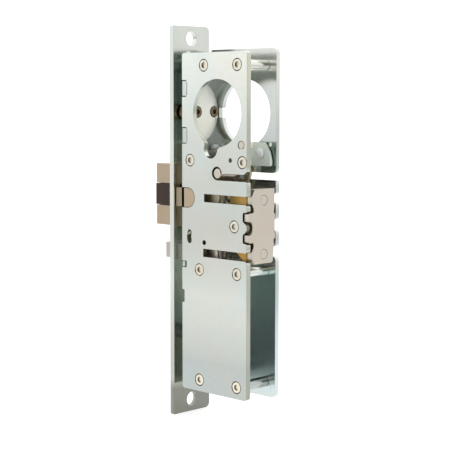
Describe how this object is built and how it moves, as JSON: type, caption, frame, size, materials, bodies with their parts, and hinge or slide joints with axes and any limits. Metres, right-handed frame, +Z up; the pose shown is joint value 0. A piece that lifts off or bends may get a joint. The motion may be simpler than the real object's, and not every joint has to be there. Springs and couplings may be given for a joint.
{
  "type": "mortise lock",
  "caption": "Narrow-stile mortise deadlatch with faceplate, open plated case, sprung latch bolt with friction tongue, deadlatch plunger and a round cylinder hole.",
  "frame": {"origin": "front face of the faceplate, on its centreline, level with the lock cylinder's axis", "axes": "+Y from the faceplate into the door, +X across the lock towards the screwed-on cover plate, +Z up"},
  "size_m": [0.0222, 0.0627, 0.1746],
  "materials": {
    "zinc_plate": "bright bluish zinc plate",
    "tan_steel": "satin, warm tint",
    "screw_steel": "plated, cream tint",
    "dark_bronze": "dark oiled bronze",
    "yellow_chromate": "yellow chromate on steel",
    "spring_steel": "bright wire"
  },
  "bodies": {
    "lock_case": {"faceplate": "zinc_plate", "case_body": "zinc_plate", "cover_plate": "zinc_plate", "front_spacer_upper": "zinc_plate", "front_spacer_lower": "zinc_plate", "front_screw_upper": "screw_steel", "front_screw_lower": "screw_steel", "side_spacer_1": "zinc_plate", "side_spacer_2": "zinc_plate", "side_spacer_3": "zinc_plate", "side_spacer_4": "zinc_plate", "side_spacer_5": "zinc_plate", "side_spacer_6": "zinc_plate", "cover_nut_1": "zinc_plate", "cover_nut_2": "zinc_plate", "cover_nut_3": "zinc_plate", "cover_screw_1": "screw_steel", "cover_screw_2": "screw_steel", "cover_screw_3": "screw_steel", "cover_screw_4": "screw_steel", "cover_screw_5": "screw_steel", "cover_screw_6": "screw_steel", "cover_screw_7": "screw_steel", "cover_screw_8": "screw_steel", "cover_screw_9": "screw_steel", "cylinder_clamp": "zinc_plate", "clamp_screw_near": "dark_bronze", "clamp_screw_far": "dark_bronze", "latch_guide_near": "tan_steel", "latch_guide_far": "tan_steel", "lever_guard": "zinc_plate", "guard_rivet": "tan_steel", "lever_pivot_pin": "tan_steel", "lever_stop_pin": "tan_steel", "lever_rest_stud": "tan_steel", "lever_spring": "spring_steel", "deadlock_pivot_pin": "tan_steel", "rear_block": "tan_steel", "block_rivet_upper": "tan_steel", "block_rivet_lower": "tan_steel", "spring_frame": "yellow_chromate", "latch_spring": "spring_steel", "plunger_spring": "spring_steel"},
    "latch": {"latch_bolt": "tan_steel", "latch_yoke": "tan_steel", "tongue_pin": "tan_steel", "yoke_rivet": "tan_steel"},
    "tongue": {"friction_tongue": "dark_bronze"},
    "plunger": {"deadlatch_plunger": "tan_steel", "plunger_rivet": "tan_steel"},
    "deadlock": {"deadlock_lever": "dark_bronze"},
    "lever": {"cylinder_lever": "tan_steel"}
  },
  "joints": [
    {"name": "latch_slide", "type": "slide", "parent": "lock_case", "child": "latch", "axis": [0, 1, 0], "range_m": [0, 0.0152], "stiffness_N_per_m": 300, "springref_m": -0.012, "deforming": ["latch_spring"]},
    {"name": "tongue_pivot", "type": "hinge", "parent": "latch", "child": "tongue", "pos_m": [0.0022, 0.0012, -0.037], "axis": [0, 0, -1], "range_deg": [0, 4]},
    {"name": "plunger_slide", "type": "slide", "parent": "lock_case", "child": "plunger", "axis": [0, 1, 0], "range_m": [0, 0.009], "stiffness_N_per_m": 200, "springref_m": -0.01, "deforming": ["plunger_spring"]},
    {"name": "deadlock_pivot", "type": "hinge", "parent": "lock_case", "child": "deadlock", "pos_m": [0.007, 0.0209, -0.0565], "axis": [-1, 0, 0], "range_deg": [0, 22]},
    {"name": "lever_pivot", "type": "hinge", "parent": "lock_case", "child": "lever", "pos_m": [-0.00665, 0.0287, -0.0259], "axis": [1, 0, 0], "range_deg": [0, 27.6]}
  ],
  "couplings": [
    {"joint": "lever_pivot", "follows": "latch_slide", "rad_per_m": 31.6},
    {"joint": "deadlock_pivot", "follows": "plunger_slide", "rad_per_m": 41.5}
  ]
}
